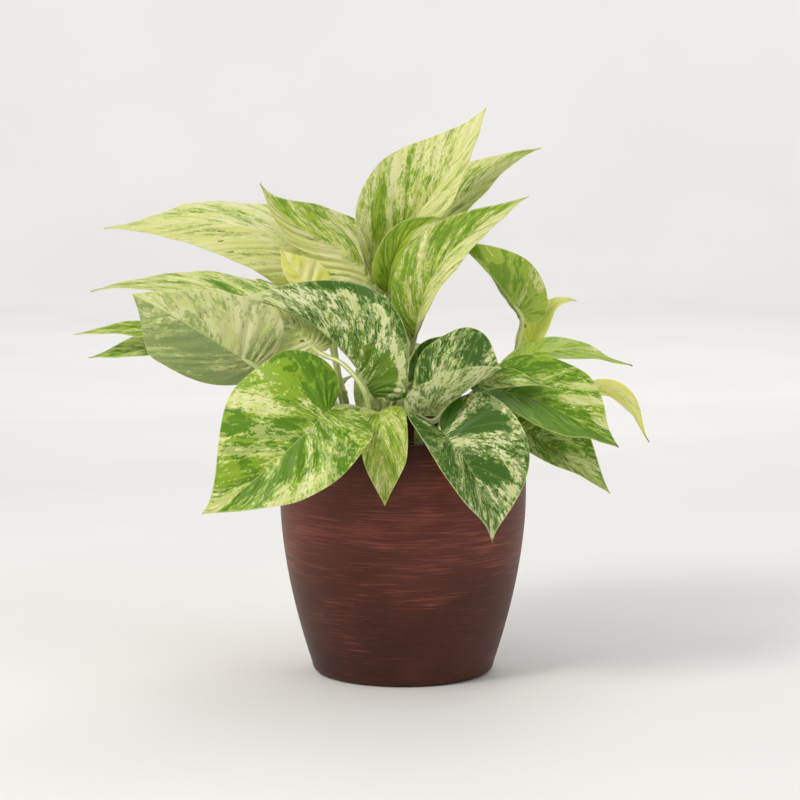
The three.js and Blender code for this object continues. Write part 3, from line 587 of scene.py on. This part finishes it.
# The leaves, in millimetres and degrees. points are the petiole's bends and the four corners of the
# midrib's curve, root is the vine and where on it the petiole starts, faces are where the upper face looks
# by the petiole and by the tip, and widths are those of the left and right half. both, left and right are
# a half's fold and curl by the petiole and its fold, and perhaps curl, by the tip.
# Two layers of green lie over cream. upper and lower shift them on the left and right half, and marks shift
# them in places, all in hundredths: side, along, half sizes, both shifts. A scar has no shifts. busy is the
# strength of the fine streaks, size their length, haze how far the green fades into the cream, below how
# pale the underside is, thin how much light comes through, and tip the scorched share.
plainLeaf = dict(
    both=(10, 10, 10), lobe=0.18, widest=0.25, shoulder=0.3, tipWidth=0.2, tipReach=0.78, opening=1,
    rightEdge={}, upper=(0, 0), lower=(0, 0), tone="grass", busy=1, size=1, haze=0.18, below=0.3,
    thin=0.15, tip=0, marks=(), scars=())
leafPlan = dict(
    crown=dict(
        points=[(-14, 12, 214), (-17, 18, 239), (-9, 9, 277), (18, 8, 292), (53, 26, 357)],
        root=("centre", 0.97), faces=[(0, -1, 0.1), (-0.4, -0.85, 0.2)], widths=(42, 27), left=(85, 0, 5),
        right=(80, 0, 35), lobe=-0.14, widest=0.34, tipWidth=0.3, opening=2, upper=(-12, -20),
        lower=(-12, -16), tone="lime", size=1.25, haze=0.1,
        marks=[(0, 14, 100, 16, 20, -30), (-60, 52, 30, 5, 35, 0), (-30, 70, 40, 7, 12, 5),
               (60, 50, 30, 7, 15, 10), (0, 95, 100, 6, -30, -30)]),
    crown_behind=dict(
        points=[(2, 44, 210), (-7, 42, 240), (4, 42, 261), (36, 41, 313), (89, 50, 331)],
        root=("back", 0.97), faces=[(-0.5, -0.6, 0.6)], widths=(33, 33), both=(20, 10, 15), lobe=0.16,
        upper=(-10, -5), lower=(-12, -10), tone="lime", size=1.3, haze=0.1),
    unrolling=dict(
        points=[(-15, -9, 210), (-10, -12, 241), (-9, -16, 267), (3, -18, 289), (30, -14, 288)],
        root=("centre", 0.85), faces=[(0.1, -0.9, 0.4)], widths=(14, 11), left=(35, 10, 35),
        right=(55, 10, 55), lobe=-0.05, upper=(50, 30), lower=(-10, -20), tone="lime"),
    upper_right=dict(
        points=[(-3, -16, 192), (6, -25, 211), (12, -29, 237), (8, -30, 266), (79, -5, 302)],
        root=("centre", 0.63), faces=[(-0.35, -0.9, 0.1)], widths=(22, 20), left=(35, 0, 10),
        right=(60, 0, 40), lobe=-0.08, widest=0.32, opening=2, upper=(8, -20), lower=(0, -12), tone="lime",
        size=1.25, haze=0.1,
        marks=[(-50, 38, 45, 6, 20, 25), (-40, 20, 80, 12, 15, 0), (-70, 55, 30, 4, -12, -10),
               (-50, 72, 40, 5, 12, 10)]),
    right_arching=dict(
        points=[(68, 5, 192), (73, 5, 210), (75, 5, 225), (66, 5, 239), (55, 10, 255), (33, 25, 273)],
        root=("right", 0.97), faces=[(-0.3, 0.8, 0.5)], widths=(26, 26), left=(20, 10, 20),
        right=(80, 10, 70), lobe=0.16, upper=(30, 15), lower=(-12, -10), tone="lime", size=1.3, below=0.04,
        marks=[(-25, 68, 35, 12, 25, 45), (-35, 47, 30, 3, -45, -20), (-90, 43, 20, 7, -45, -20),
               (-60, 90, 50, 8, 20, 35)]),
    right_pale=dict(
        points=[(72, 14, 185), (79, 22, 201), (86, 20, 221), (98, 22, 240), (111, 22, 234)],
        root=("right", 0.75), faces=[(-0.7, -0.6, 0.3)], widths=(12, 12), lobe=0.12, upper=(-70, -70),
        lower=(-50, -50), tone="pale", below=0, thin=0.7),
    right_high=dict(
        points=[(62, -14, 190), (71, -24, 201), (91, -23, 213), (118, -19, 205), (144, -12, 196)],
        root=("right", 0.86), faces=[(0, -0.3, 0.95)], widths=(19, 14), both=(0, 0, 0), lobe=0.16,
        upper=(50, 50), lower=(-12, -5), tone="lime", tip=0.02,
        marks=[(-80, 80, 30, 10, -35, -20)]),
    right_long=dict(
        points=[(38, -50, 172), (50, -45, 184), (74, -60, 187), (104, -70, 170), (131, -70, 152)],
        root=("front_right", 0.88), faces=[(0.1, -0.55, 0.8)], widths=(33, 30), both=(22, 5, 15),
        lobe=0.04, widest=0.45, tipWidth=0.35, upper=(10, 50), lower=(-2, 22), tip=0.015,
        marks=[(-60, 33, 50, 12, 30, 12), (-20, 60, 25, 25, 25, 15), (-80, 62, 25, 3, -35, -30),
               (-75, 72, 30, 3, -30, -30), (-85, 84, 20, 6, -30, -30)]),
    right_sliver=dict(
        points=[(29, -61, 172), (44, -65, 187), (57, -67, 197), (78, -68, 190), (91, -70, 188)],
        root=("front_right", 0.76), faces=[(0, -0.4, 0.9)], widths=(11, 11), lobe=0.08, upper=(12, 12),
        lower=(10, 10)),
    right_low=dict(
        points=[(64, -16, 172), (64, -28, 163), (84, -38, 156), (109, -45, 138), (128, -45, 120)],
        root=("right", 0.64), faces=[(0.3, -0.8, 0.5)], widths=(30, 18), left=(10, 5, 10),
        right=(30, 0, 10), lobe=0.1, lower=(6, 6), busy=1.2,
        # the first mark's solid dark green across the blade near the petiole is painted shade
        marks=[(0, 15, 100, 20, 25, 20), (0, 90, 100, 12, -15, -10)]),
    right_folded=dict(
        points=[(18, -56, 166), (8, -69, 173), (24, -75, 178), (42, -83, 193), (58, -70, 201)],
        root=("front_right", 0.98), faces=[(0, -0.85, 0.5)], widths=(34, 36), left=(10, 10, 10, 10),
        right=(50, 100, 50, 80), lobe=0.04, widest=0.5, tipWidth=1, tipReach=1.3,
        rightEdge=dict(widest=0.4, tipWidth=0.8, tipReach=0.78), upper=(-2, -12), lower=(6, -20),
        tone="forest", busy=1.2, size=1.3, haze=0.3, below=0.1,
        marks=[(-50, 40, 40, 10, 10, 20), (-45, 62, 30, 7, -15, -10), (-75, 80, 30, 8, 15, 10)]),
    right_dark_edge=dict(
        points=[(-4, -14, 176), (7, -30, 190), (12, -30, 204), (23, -30, 215), (35, -30, 219)],
        root=("centre", 0.52), faces=[(-0.6, -0.3, 0.75)], widths=(12, 12), lobe=0.12, upper=(40, 40),
        lower=(-5, -5), tone="forest", tip=0.1),
    front_right=dict(
        points=[(26, -62, 163), (25, -78, 169), (23, -88, 164), (35, -100, 154), (54, -108, 125),
                (53, -108, 99)],
        root=("front_right", 0.62), faces=[(0.5, -0.85, 0.2)], widths=(40, 27), both=(30, 5, 15),
        shoulder=0.42, tipWidth=0.05, rightEdge=dict(lobe=0.3), upper=(7, 10), lower=(12, 14),
        tone="forest", busy=1.3, tip=0.02,
        marks=[(-40, 14, 80, 12, 35, 30), (-55, 30.5, 30, 3, -20, -10), (-45, 42, 40, 5.5, 40, 35),
               (-95, 42, 12, 8, -15, 0), (-50, 53, 60, 4, -15, -14), (-85, 62, 15, 4, -25, -10),
               (-62, 68, 16, 3.5, 40, 40), (-35, 72, 30, 4, 25, 20), (-87, 72, 7, 2, -50, -40),
               (-70, 76, 5, 1.5, -50, -40), (-50, 84, 40, 5, -15, 0), (60, 32, 50, 8, 15, 15),
               (45, 50, 40, 5, 20, 20), (30, 62, 25, 4, -20, 0), (0, 97, 100, 5, -30, -30)]),
    front_small=dict(
        points=[(-12, -52, 165), (-15, -60, 172), (-12, -109, 175), (-12, -83, 138), (-11, -90, 119)],
        root=("front_left", 0.78), faces=[(0, -0.6, 0.8), (0, -0.9, 0.2)], widths=(16, 14),
        left=(22, 5, 10), right=(15, 5, 10), lobe=0.1, widest=0.4, tipWidth=0.5, upper=(12, 10),
        lower=(-12, -10), tone="lime", busy=1.2, size=1.2,
        marks=[(0, 8, 100, 8, -30, -20)]),
    front_left=dict(
        points=[(-32, -64, 176), (-44, -91, 177), (-50, -101, 174), (-96, -120, 125), (-120, -108, 117)],
        root=("front_left", 0.88), faces=[(-0.1, -1, 0.1), (-0.1, -1, 0.25)], widths=(36, 51),
        left=(20, 0, 10), right=(15, -40, 5, -10), lobe=0.22, tipWidth=0.1,
        rightEdge=dict(lobe=0.3, tipWidth=0.22), upper=(7, 4), lower=(-4, -4), size=1.2,
        marks=[(60, 16, 90, 20, 50, 12), (85, 40, 40, 5, 12, -20), (75, 52, 50, 4, -22, -5),
               (30, 50, 25, 4, 10, -20), (40, 64, 35, 4, -20, 30), (80, 63, 20, 4, 30, 30),
               (20, 57, 15, 4, 30, 25), (60, 73.5, 50, 2.5, -25, 10), (80, 83, 30, 5, 20, -20),
               (25, 78, 25, 4, 10, -15), (-50, 40, 40, 4, -8, 5), (-80, 47, 25, 4, -8, 20),
               (-30, 68, 35, 7, 40, 35), (-85, 58, 20, 5, -25, -10), (-80, 70, 20, 6, -20, -10),
               (-30, 86, 30, 4, 20, 0), (0, 97, 100, 5, -35, -30)]),
    centre_cupped=dict(
        points=[(-20, -44, 178), (-20, -44, 181), (-33, -48, 214), (-66, -53, 239), (-100, -48, 241)],
        root=("front_left", 0.98), faces=[(0.3, -0.7, 0.6)], widths=(14, 45), left=(-140, 0, -130),
        right=(20, 150, 10), lobe=0.12, opening=2.5, upper=(-5, -13), lower=(0, -4), tone="forest",
        busy=1.2,
        marks=[(25, 22, 35, 30, 50, -40), (68, 28, 14, 16, -35, -10), (96, 34, 10, 24, 30, 30),
               (97, 68, 8, 14, 30, 30), (20, 60, 20, 15, 10, -10), (50, 97, 100, 8, -30, -20)]),
    left_underside=dict(
        points=[(-68, -26, 173), (-82, -40, 184), (-89, -46, 198), (-124, -60, 222),
                (-147, -65, 237), (-165, -54, 244)],
        root=("left", 0.97), faces=[(-0.1, 0.9, 0.4)], widths=(36, 35), lobe=0.06, widest=0.15,
        tipWidth=0.3, rightEdge=dict(widest=0.5, tipWidth=1), upper=(-20, 8), lower=(-16, 10), haze=0.08,
        below=0.32,
        marks=[(50, 72, 32, 4.5, 40, 40), (80, 40, 30, 25, 10, 15), (-10, 42, 12, 8, 25, 20),
               (-42, 30, 30, 3.5, 35, 30), (-62, 17, 25, 3, 30, 30), (-30, 80, 25, 2.5, 30, 25)]),
    left_cream=dict(
        points=[(-20, -53, 166), (-24, -54, 185), (-37, -51, 201), (-51, -44, 208),
                (-75, -38, 239), (-141, -16, 257), (-195, -16, 243)],
        root=("front_left", 0.55), faces=[(0, -0.3, 0.95)], widths=(28, 26), left=(-75, 0, 5), lobe=0.02,
        tipWidth=0.12, opening=2, upper=(-22, -18), lower=(-14, -12), haze=0.09, below=0.15,
        marks=[(-60, 15, 90, 25, -60, -60), (35, 70, 35, 4.5, 30, 15), (60, 52, 30, 5, 15, 0)],
        scars=[(-12, 41, 6, 1.2)]),
    upper_left_cream=dict(
        points=[(-44, 32, 208), (-42, 26, 241), (-80, 20, 293), (-134, 14, 287), (-189, 8, 281)],
        root=("back_left", 0.97), faces=[(0, -0.35, 0.93)], widths=(29, 38), left=(-38, 0, -28),
        right=(10, 0, 0), lobe=0.1, widest=0.33, tipWidth=0.12, upper=(-30, -20), lower=(-22, -20),
        tone="lime", size=1.1, haze=0.07, below=0.1,
        scars=[(-45, 75.5, 5, 0.9), (-75, 67, 3.5, 0.7), (-88, 58, 6, 0.7)]),
    upper_left=dict(
        points=[(-27, -2, 206), (-20, 3, 237), (-22, 10, 278), (-76, 10, 269), (-90, 6, 310)],
        root=("centre", 0.74), faces=[(0.3, -0.7, 0.6)], widths=(21, 32), left=(-10, 0, -120),
        right=(-15, 0, 10), lobe=-0.17, widest=0.35, upper=(-30, -10), lower=(-18, -10), tone="lime",
        size=1.2, haze=0.1, below=0.12,
        marks=[(50, 80, 60, 15, 25, 0)]),
    young_yellow=dict(
        points=[(-57, -6, 206), (-57, -5, 239), (-62, -6, 249), (-70, -7, 254), (-77, -8, 270)],
        root=("left", 0.86), faces=[(0.3, -0.85, 0.4)], widths=(12, 17), both=(15, 10, 10), lobe=0.14,
        upper=(-60, -60), lower=(-40, -40), tone="pale", below=0, thin=0.4),
    left_tip_high=dict(
        points=[(-74, -10, 196), (-105, -22, 214), (-139, -20, 222), (-174, -18, 221), (-206, -16, 216)],
        root=("left", 0.74), faces=[(0, -0.6, 0.8)], widths=(13, 9), lobe=0.16, upper=(6, 6),
        lower=(-5, -5), tone="lime"),
    left_tip_low=dict(
        points=[(-78, -12, 172), (-108, -12, 196), (-130, -12, 213), (-166, -12, 207), (-197, -12, 201)],
        root=("left", 0.62), faces=[(-0.1, -0.6, 0.75)], widths=(14, 18), lobe=0.04, upper=(6, 6)),
    far_right_pale=dict(
        points=[(72, 28, 172), (118, 15, 176), (143, 17, 185), (147, 12, 158), (157, 8, 145)],
        root=("back_right", 0.9), faces=[(0.3, -0.5, 0.8)], widths=(9, 8), lobe=0.14, upper=(-50, -50),
        lower=(-30, -30), tone="pale", below=0.1, thin=0.5),
    back_left_low=dict(
        points=[(-56, 44, 176), (-70, 48, 186), (-86, 62, 202), (-108, 76, 204), (-124, 82, 190)],
        root=("back_left", 0.66), faces=[(-0.1, 0.45, 0.9), (-0.3, 0.5, 0.8)], widths=(34, 34),
        both=(16, 6, 10)),
    back_left_high=dict(
        points=[(-46, 54, 200), (-50, 62, 220), (-64, 80, 240), (-92, 104, 244), (-112, 116, 226)],
        root=("back_left", 0.8), faces=[(0.1, -0.2, 0.97), (-0.3, 0.3, 0.9)], widths=(33, 33),
        both=(18, 6, 10)),
    back_tall=dict(
        points=[(-4, 64, 204), (-14, 72, 230), (-22, 88, 258), (-32, 112, 276), (-44, 132, 266)],
        root=("back", 0.84), faces=[(0, 0.2, 0.97), (-0.1, 0.5, 0.86)], widths=(36, 36), both=(18, 6, 12)),
    back_right_high=dict(
        points=[(54, 48, 180), (56, 56, 182), (66, 74, 190), (84, 98, 184), (98, 112, 166)],
        root=("back_right", 0.97), faces=[(-0.1, 0.1, 0.98), (0.2, 0.4, 0.9)], widths=(34, 34),
        both=(18, 6, 12)),
    back_right_low=dict(
        points=[(62, 46, 164), (72, 52, 170), (88, 64, 174), (108, 76, 158), (118, 80, 128)],
        root=("back_right", 0.7), faces=[(0.1, 0.4, 0.9), (0.4, 0.5, 0.75)], widths=(32, 32),
        both=(16, 6, 10)),
    back_drooping=dict(
        points=[(3, 62, 168), (2, 86, 176), (4, 106, 174), (4, 118, 142), (0, 110, 96)],
        root=("back", 0.6), faces=[(0, 0.4, 0.9), (0, 0.97, 0.2)], widths=(38, 38), both=(16, 6, 10),
        lobe=0.2),
    back_left_drooping=dict(
        points=[(-46, 58, 168), (-56, 72, 174), (-68, 92, 172), (-78, 102, 140), (-76, 96, 100)],
        root=("back_left", 0.56), faces=[(-0.2, 0.5, 0.85), (-0.5, 0.85, 0.2)], widths=(33, 33),
        both=(16, 6, 10)),
    back_centre=dict(
        points=[(15, 64, 181), (15, 74, 191), (21, 94, 203), (29, 116, 199), (35, 130, 177)],
        root=("back", 0.74), faces=[(0, 0.1, 1), (-0.2, 0.5, 0.85)], widths=(30, 30), both=(16, 6, 10)))

# What all leaves share, in millimetres
leaf = dict(
    lobeShare=0.42, ripple=1.2, waves=1.6, veinSweep=3.0, veinArch=1.3, rows=104, columns=22, smallRows=60,
    smallColumns=14, smallWidth=18, ribThickness=0.36, edgeThickness=0.2, grooveDepth=0.3, ribHeight=0.9,
    veinGap=8.5, quilting=0.5, unevenness=(0.7, 0.35), marginWaves=(0.45, 0.5), paleVeinGap=7.0,
    paleBelow="#cfcba0", scorch="#8a6a3c", relief=0.0008, petioleRadius=2.1, petioleTip=1.3,
    petioleSteps=56, petioleSides=18, petioleFoot=1.3, petioleKnee=0.35, petioleGroove=0.16)

# The colours of each kind of leaf: two creams, a haze over them, and the greens of the lower layer alone,
# of the upper one alone and of both
leafTones = dict(
    lime=dict(cream="#e2e1ab", ivory="#d8dc8e", haze="#c6d278",
              lower="#b9c37a", upper="#a3b940", both="#7a9c26"),
    grass=dict(cream="#dde0a4", ivory="#cad37e", haze="#aec05c",
               lower="#a8b668", upper="#86a628", both="#5a8410"),
    forest=dict(cream="#dfe1b2", ivory="#cdd494", haze="#b0bc74",
                lower="#8f9f62", upper="#698a2a", both="#40661a"),
    pale=dict(cream="#f6f5ac", ivory="#eeef7c", haze="#dbe36c",
              lower="#ccd282", upper="#bbcb48", both="#97b034"))


def edgeAt(t, side, form):
    # the margin of a half blade in shares of its half width and length
    left = marginCurve(t, form)
    right = marginCurve(t, {**form, **form["rightEdge"]})
    return np.where((side > 0)[..., None], right, left)


def marginCurve(t, form):
    lobe, widest = form["lobe"], form["widest"]
    lower = [(0, 0), (0.1, -1.25 * lobe), (1, -lobe), (1, widest)]
    upper = [(1, widest), (1, widest + form["shoulder"]), (form["tipWidth"], form["tipReach"]), (0, 1)]
    turn = leaf["lobeShare"]
    low = bezier(lower, np.clip(t / turn, 0, 1))
    high = bezier(upper, np.clip((t - turn) / (1 - turn), 0, 1))
    return np.where((t < turn)[..., None], low, high)


class Midrib:
    def __init__(self, form):
        self.corners = [np.asarray(p, float) for p in form["points"][-4:]]
        self.faces = [unit(f) for f in form["faces"]]
        self.shares = np.linspace(0, 1, 201)
        self.lengths = distances(bezier(self.corners, self.shares))
        self.length = self.lengths[-1]

    def frameAt(self, station):
        # the place at a share of the length, and the directions along, up from and aside the blade there
        inside = np.clip(station, 0, 1)
        share = np.interp(inside * self.length, self.lengths, self.shares)
        slopes = [3 * (b - a) for a, b in zip(self.corners, self.corners[1:])]
        along = unit(bezier(slopes, share))
        place = bezier(self.corners, share) + along * ((station - inside) * self.length)[..., None]
        up = mix(self.faces[0], self.faces[-1], inside[..., None])
        up = unit(up - along * (up * along).sum(-1, keepdims=True))
        return place, up, np.cross(along, up)


def bladeSurface(form, midrib, t, side):
    # the blade's middle surface; t runs from the petiole to the tip, side from -1 to 1
    edge = edgeAt(t, side, form)
    across = np.abs(side)
    station = mix(t ** leaf["veinSweep"], edge[..., 1], across ** leaf["veinArch"])
    reach = edge[..., 0] * across
    inside = np.clip(station, 0, 1)
    opened = 1 - (1 - inside) ** form["opening"]
    left = side < 0
    halves = [(*form.get(half, form["both"]), 0)[:4] for half in ("left", "right")]
    bends = [np.where(left, a, b) for a, b in zip(*halves)]
    fold = np.radians(mix(bends[0], bends[2], opened))
    curl = np.radians(mix(bends[1], bends[3], opened))
    curl = np.where(np.abs(curl) < 1e-6, 1e-6, curl)
    angle = fold + curl * reach
    width = np.where(left, *form["widths"])
    out = width / curl * (np.sin(angle) - np.sin(fold))
    rise = width / curl * (np.cos(fold) - np.cos(angle))
    wave = np.sin(2 * math.pi * leaf["waves"] * t + np.where(left, 2, 0)) * np.sin(math.pi * t)
    rise = rise + leaf["ripple"] * wave * across**2
    place, up, aside = midrib.frameAt(station)
    point = place + aside * (np.sign(side) * out)[..., None] + up * rise[..., None]
    return point, np.sign(side) * reach * width, edge[..., 0] * width * (1 - across)


def gridNormals(points):
    along = np.gradient(points, axis=0)
    across = np.gradient(points, axis=1)
    normals = unit(np.cross(across, along))
    for row, inner in ((0, 1), (-1, -2)):
        normals[row] = unit(normals[inner].mean(axis=0))
    return normals


def makeBlade(form, midrib, number):
    small = max(form["widths"]) < leaf["smallWidth"]
    rows = leaf["smallRows" if small else "rows"]
    half = leaf["smallColumns" if small else "columns"]
    even = np.linspace(-1, 1, 2 * half + 1)
    sides = np.sign(even) * (0.3 * np.abs(even) + 0.7 * np.abs(even) ** 1.7)
    turns = 1 - (1 - np.linspace(0, 1, rows + 1)) ** 1.25
    t, side = np.meshgrid(turns, sides, indexing="ij")
    points, out, inFromEdge = bladeSurface(form, midrib, t, side)
    normals = gridNormals(points)
    down = t * midrib.length
    across = np.abs(side)
    calm = np.sin(math.pi * np.clip(t, 0, 1)) ** 0.5

    # a little life: quilting between the side veins, a soft unevenness and a finely waved margin
    phase = number * 1.7
    gap = leaf["veinGap"] * (0.55 if small else 1)
    quilt = leaf["quilting"] * np.cos(2 * math.pi * (down + 0.12 * np.abs(out)) / gap)
    quilt = quilt * smooth(across, 0.03, 0.3)
    gaps = np.linalg.norm(np.gradient(points, axis=0), axis=-1)
    fan = np.clip(gaps / (0.5 * midrib.length / rows), 0.3, 1)
    quilt = quilt * (1 - across**4) * smooth(fan, 0.3, 1)
    slow, quick = leaf["unevenness"]
    uneven = slow * np.sin(out / 9 + phase) * np.cos(down / 12 + 2 * phase)
    uneven += quick * np.sin(down / 5.5 + out / 8 + 3 * phase)
    short, long = leaf["marginWaves"]
    margin = (short * np.sin(down / 3.4 + phase) + long * np.sin(down / 7.3 + 2 * phase)) * across**5
    lift = (quilt + uneven * across + margin) * calm
    points = points + normals * lift[..., None]
    normals = gridNormals(points)

    taper = 1 - 0.75 * t
    thick = mix(leaf["ribThickness"], leaf["edgeThickness"], smooth(across, 0, 0.9))
    groove = leaf["grooveDepth"] * taper * np.exp(-((out / 0.8) ** 2)) * calm
    rib = leaf["ribHeight"] * taper**1.3 * np.exp(-((out / (1.25 * taper + 0.2)) ** 2))
    upper = points + normals * (thick - groove)[..., None]
    lower = points - normals * (thick + rib * smooth(t, 0, 0.03))[..., None]

    width = 2 * half + 1
    index = np.arange((rows + 1) * width).reshape(rows + 1, width)
    for row in (0, -1):
        index[row] = index[row, half]
    shift = index.size
    quads = [index[:-1, :-1], index[:-1, 1:], index[1:, 1:], index[1:, :-1]]
    quads = np.stack(quads, axis=-1).reshape(-1, 4)
    faces = [*quads.tolist(), *(quads[:, ::-1] + shift).tolist()]
    for here, there in zip(index, index[1:]):
        faces.append([here[-1] + shift, there[-1] + shift, there[-1], here[-1]])
        faces.append([here[0], there[0], there[0] + shift, here[0] + shift])
    # each end row is one point, so a face there loses a corner or goes
    faces = [[i for k, i in enumerate(face) if i != face[k - 1]] for face in faces]
    faces = [face for face in faces if len(set(face)) >= 3]
    both = np.concatenate([upper, lower]).reshape(-1, 3)

    # where each point lies across and down the blade, for the marbling
    steps = np.linalg.norm(np.diff(points, axis=1), axis=-1)
    run = np.pad(np.cumsum(steps, axis=1), ((0, 0), (1, 0)))
    run = run - run[:, half:half + 1]
    veins = np.tile(inRows(run, down, number * 13.7), (2, 1))
    places = inRows(fan, inFromEdge, 0.0)
    return both, faces, veins, np.concatenate([places, places + (0, 0, 1)]), t, side


def leafMarks(look, t, side):
    upper, lower = (np.where(side < 0, *look[layer]) / 100 for layer in ("upper", "lower"))
    scar = np.zeros_like(upper)

    def awayFrom(spot, along, wide, long):
        return np.sqrt(((side - spot) / wide) ** 2 + ((t - along) / long) ** 2)

    for *spot, moreUpper, moreLower in np.array(look["marks"]) / 100:
        share = smooth(awayFrom(*spot), 1.35, 0.65)
        upper += moreUpper * share
        lower += moreLower * share
    for spot in np.array(look["scars"]) / 100:
        scar = np.maximum(scar, smooth(awayFrom(*spot), 1.5, 0.3))
    if look["tip"]:
        scar = np.maximum(scar, 0.9 * smooth(t, 1 - 1.5 * look["tip"], 1 - 0.5 * look["tip"]))
    return np.tile(inRows(upper, lower, scar), (2, 1))


# The sizes of the marbling's cells along and across the side veins; their order sets each pattern apart
marbling = dict(
    sectors=(24, 9), streaks=(4.4, 1.35), specks=(1.5, 0.7), patches=(7.0, 2.6), threads=(3.2, 1.0),
    warmth=(13, 9), grain=(0.9, 0.9), fibres=(30, 0.6))


def leafFinish(name, look):
    tone, busy, size = leafTones[look["tone"]], look["busy"], look["size"]
    desk = ShaderDesk("marbled_leaf_" + name)
    vein = desk.attribute("veinPlace")
    across, down, _ = desk.split(vein)
    upperShift, lowerShift, scar = desk.split(desk.attribute("leafMarks"))
    fan, edgeAway, under = desk.split(desk.attribute("leafPlaces"))

    def cells(kind, scale=1, detail=2, rough=0.5):
        long, wide = marbling[kind]
        turn = list(marbling).index(kind) + 1
        shift = (turn, 2 * turn, 40 * turn)
        return desk.noise(desk.stretch(vein, (long * scale, wide * scale, 1), shift), detail, rough)

    # sectors of both layers, frayed by streaks along the veins, each layer with its own
    streaks = cells("streaks", size, 3, 0.62)
    specks = cells("specks", size, rough=0.6)
    patches = cells("patches", size)
    threads = cells("threads", size, 3, 0.6)
    level = desk.total((cells("sectors"), 1.15), -0.575)
    upperFray = desk.total((streaks, 1.5 * busy), (specks, 0.9 * busy), -1.2 * busy)
    lowerFray = desk.total((patches, 1.5), (threads, busy), -0.75 - 0.5 * busy)
    upper = desk.total(upperShift, level, desk.maths("MULTIPLY", upperFray, fan))
    lower = desk.total(lowerShift, level, desk.maths("MULTIPLY", lowerFray, fan))

    warmth = cells("warmth")
    cream = desk.blend(desk.step(warmth, 0.38, 0.62), tone["cream"], tone["ivory"])
    cream = desk.blend(desk.step(upper, -look["haze"], 0, 0, 0.85), cream, tone["haze"])
    hasLower = desk.step(lower, -0.03, 0.05)
    below = desk.blend(hasLower, cream, tone["lower"])
    above = desk.blend(hasLower, tone["upper"], tone["both"])
    colour = desk.blend(desk.step(upper, -0.03, 0.04), below, above)

    # fine fibres, and the side veins as faint pale lines with a ridge each
    fibres = cells("fibres")
    colour = desk.blend(desk.step(fibres, 0.35, 0.65, 0, 0.2), colour, tone["haze"], "MULTIPLY")
    turns = desk.total((down, math.pi / leaf["paleVeinGap"]), (warmth, 1.2))
    ridge = desk.maths("ABSOLUTE", desk.maths("SINE", turns))
    colour = desk.blend(desk.step(ridge, 0.2, 0, 0, 0.16), colour, tone["haze"])
    midrib = desk.step(desk.maths("ABSOLUTE", across), 0.8, 0.2, 0, 0.55)
    colour = desk.blend(midrib, colour, tone["haze"])
    colour = desk.blend(desk.step(edgeAway, 0.4, 0.1, 0, 0.45), colour, tone["ivory"])
    underside = desk.blend(look["below"], colour, leaf["paleBelow"])
    colour = desk.blend(under, colour, underside)
    grain = cells("grain")
    scorched = desk.total(scar, (grain, 1.2), -1.0)
    colour = desk.blend(desk.step(scorched, 0, 0.15), colour, leaf["scorch"])
    roughness = desk.total((grain, 0.12), (under, 0.14), (streaks, 0.08), 0.31)
    ridge = desk.maths("MULTIPLY", ridge, fan)
    relief = desk.total((grain, 0.1), (threads, 0.12), (fibres, 0.25), (ridge, 0.55))
    return desk.finish(colour, roughness, relief, leaf["relief"], Specular_IOR_Level=0.26,
                       Subsurface_Weight=look["thin"], Subsurface_Radius=(0.6, 1, 0.3),
                       Subsurface_Scale=0.0025)


def makePetiole(form, midrib):
    station = np.array([0, 0.14])
    place, up, _ = midrib.frameAt(station)
    under = place - up * np.array([[1.2], [0.9]])
    name, height = form["root"]
    start = vinePath(name, 201)[round(height * 200)]
    path = smoothPath([start, *form["points"][:-4], *under], leaf["petioleSteps"])
    share = np.linspace(0, 1, len(path))
    length = stepLengths(path).sum()
    radii = mix(leaf["petioleRadius"], leaf["petioleTip"], share) * 0.93
    radii += leaf["petioleFoot"] * np.exp(-((share * length / 5) ** 2))
    radii += leaf["petioleKnee"] * np.exp(-(((1 - share) * length - midrib.length * 0.14 - 3) / 3.5) ** 2)
    radii *= np.clip((1 - share) * 16, 0.05, 1) ** 0.5
    return sweep(path, radii, leaf["petioleSides"], up[0], leaf["petioleGroove"])


def makeLeaf(name, number, petioleFinish):
    form = {**plainLeaf, **leafPlan[name]}
    midrib = Midrib(form)
    blade, bladeFaces, veins, places, t, side = makeBlade(form, midrib, number)
    stem, stemFaces, stemPlaces = makePetiole(form, midrib)
    points = np.concatenate([blade, stem]) * mm
    faces = bladeFaces + [tuple(len(blade) + i for i in face) for face in stemFaces]
    kinds = [0] * len(bladeFaces) + [1] * len(stemFaces)
    piece = makeObject(name + "_leaf", points, faces, [leafFinish(name, form), petioleFinish], kinds)
    own = dict(veinPlace=veins, leafPlaces=places, leafMarks=leafMarks(form, t, side))
    for key, values in own.items():
        addAttribute(piece, key, np.concatenate([values, np.zeros((len(stem), 3))]))
    addAttribute(piece, "stemPlace", np.concatenate([np.zeros((len(blade), 3)), stemPlaces]))
    shape = bmesh.new()
    shape.from_mesh(piece.data)
    bmesh.ops.delete(shape, geom=[v for v in shape.verts if not v.link_faces], context="VERTS")
    shape.to_mesh(piece.data)
    shape.free()
    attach(piece, "root")
    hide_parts("leaf_" + name)


vineFinish = stemFinish("green_vine")
for name in vinePlan:
    roots = [form["root"][1] for form in leafPlan.values() if form["root"][0] == name]
    makeVine(name, roots, vineFinish)
print("vines made")

petioleFinish = stemFinish("green_petiole")
for number, name in enumerate(leafPlan):
    makeLeaf(name, number, petioleFinish)
print("leaves made,", len(leafPlan))

bpy.context.view_layer.update()
